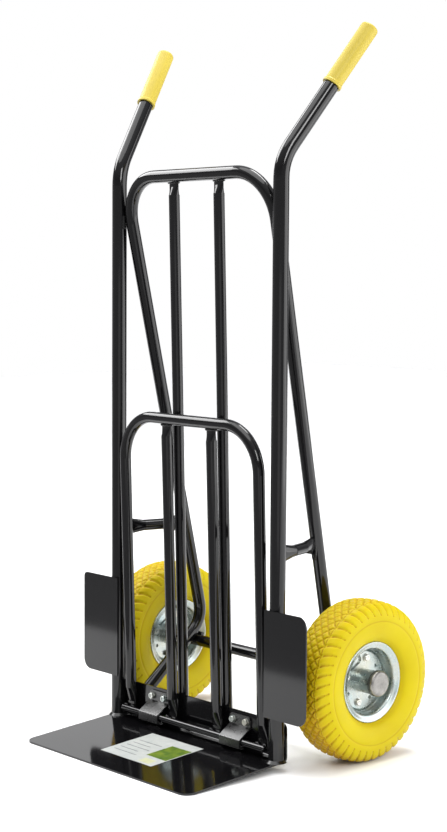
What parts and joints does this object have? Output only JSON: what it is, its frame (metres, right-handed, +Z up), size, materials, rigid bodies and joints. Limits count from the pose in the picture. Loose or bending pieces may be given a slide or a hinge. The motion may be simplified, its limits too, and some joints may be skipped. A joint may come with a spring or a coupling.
{
  "type": "hand truck",
  "caption": "Two-wheeled hand truck with tubular frame, folding toe frame, sheet toe plate, splayed handles and solid tyres.",
  "frame": {"origin": "on the floor, at the middle of the footprint: midway between the toe plate's front edge and the tyres' rear, on the middle plane", "axes": "+Z up, -Y towards the toe plate's front edge, +X to the truck's side that the right_ pieces are on; the middle plane is X = 0"},
  "size_m": [0.567, 0.47, 1.1651],
  "materials": {
    "black_paint": "gloss black paint on steel tube and sheet",
    "painted_weld": "gloss black paint over weld beads",
    "yellow_grip": "satin yellow moulded grip",
    "yellow_tyre": "satin yellow foam tyre",
    "zinc_rim": "bright zinc-plated pressed steel",
    "zinc_fastener": "zinc-plated steel fasteners",
    "bearing_steel": "ground bearing steel",
    "bright_cap": "bright plated push-on cap with fine scratches",
    "paper_label": "plain coated paper label"
  },
  "bodies": {
    "frame": {"toe_plate": "black_paint", "left_upright": "black_paint", "right_upright": "black_paint", "left_grip": "yellow_grip", "right_grip": "yellow_grip", "back_loop": "black_paint", "left_inner_bar": "black_paint", "right_inner_bar": "black_paint", "left_brace": "black_paint", "right_brace": "black_paint", "left_wheel_guard": "black_paint", "right_wheel_guard": "black_paint", "left_hinge_bracket": "black_paint", "right_hinge_bracket": "black_paint", "bracket_bolts": "zinc_fastener", "bracket_washers": "zinc_fastener", "bracket_nuts": "zinc_fastener", "axle": "black_paint", "left_axle_cap": "bright_cap", "right_axle_cap": "bright_cap", "left_axle_washer": "zinc_fastener", "right_axle_washer": "zinc_fastener", "left_split_pin": "zinc_fastener", "right_split_pin": "zinc_fastener", "frame_welds": "painted_weld", "toe_label": "paper_label"},
    "toe_frame": {"fold_hoop": "black_paint", "left_fold_bar": "black_paint", "right_fold_bar": "black_paint", "hinge_rod": "black_paint", "fold_welds": "painted_weld"},
    "left_wheel": {"left_tyre": "yellow_tyre", "left_rim_outer_half": "zinc_rim", "left_rim_inner_half": "zinc_rim", "left_hub_tube": "zinc_rim", "left_hub_plate_outer": "zinc_rim", "left_hub_plate_inner": "zinc_rim", "left_bearings": "bearing_steel", "left_rim_bolts": "zinc_fastener", "left_rim_nuts": "zinc_fastener"},
    "right_wheel": {"right_tyre": "yellow_tyre", "right_rim_outer_half": "zinc_rim", "right_rim_inner_half": "zinc_rim", "right_hub_tube": "zinc_rim", "right_hub_plate_outer": "zinc_rim", "right_hub_plate_inner": "zinc_rim", "right_bearings": "bearing_steel", "right_rim_bolts": "zinc_fastener", "right_rim_nuts": "zinc_fastener"}
  },
  "joints": [
    {"name": "toe_frame_fold", "type": "hinge", "parent": "frame", "child": "toe_frame", "pos_m": [0, -0.0475, 0.032], "axis": [1, 0, 0], "range_deg": [0, 90]},
    {"name": "left_wheel_spin", "type": "hinge", "parent": "frame", "child": "left_wheel", "pos_m": [-0.237, 0.105, 0.13], "axis": [1, 0, 0], "continuous": true},
    {"name": "right_wheel_spin", "type": "hinge", "parent": "frame", "child": "right_wheel", "pos_m": [0.237, 0.105, 0.13], "axis": [1, 0, 0], "continuous": true}
  ]
}
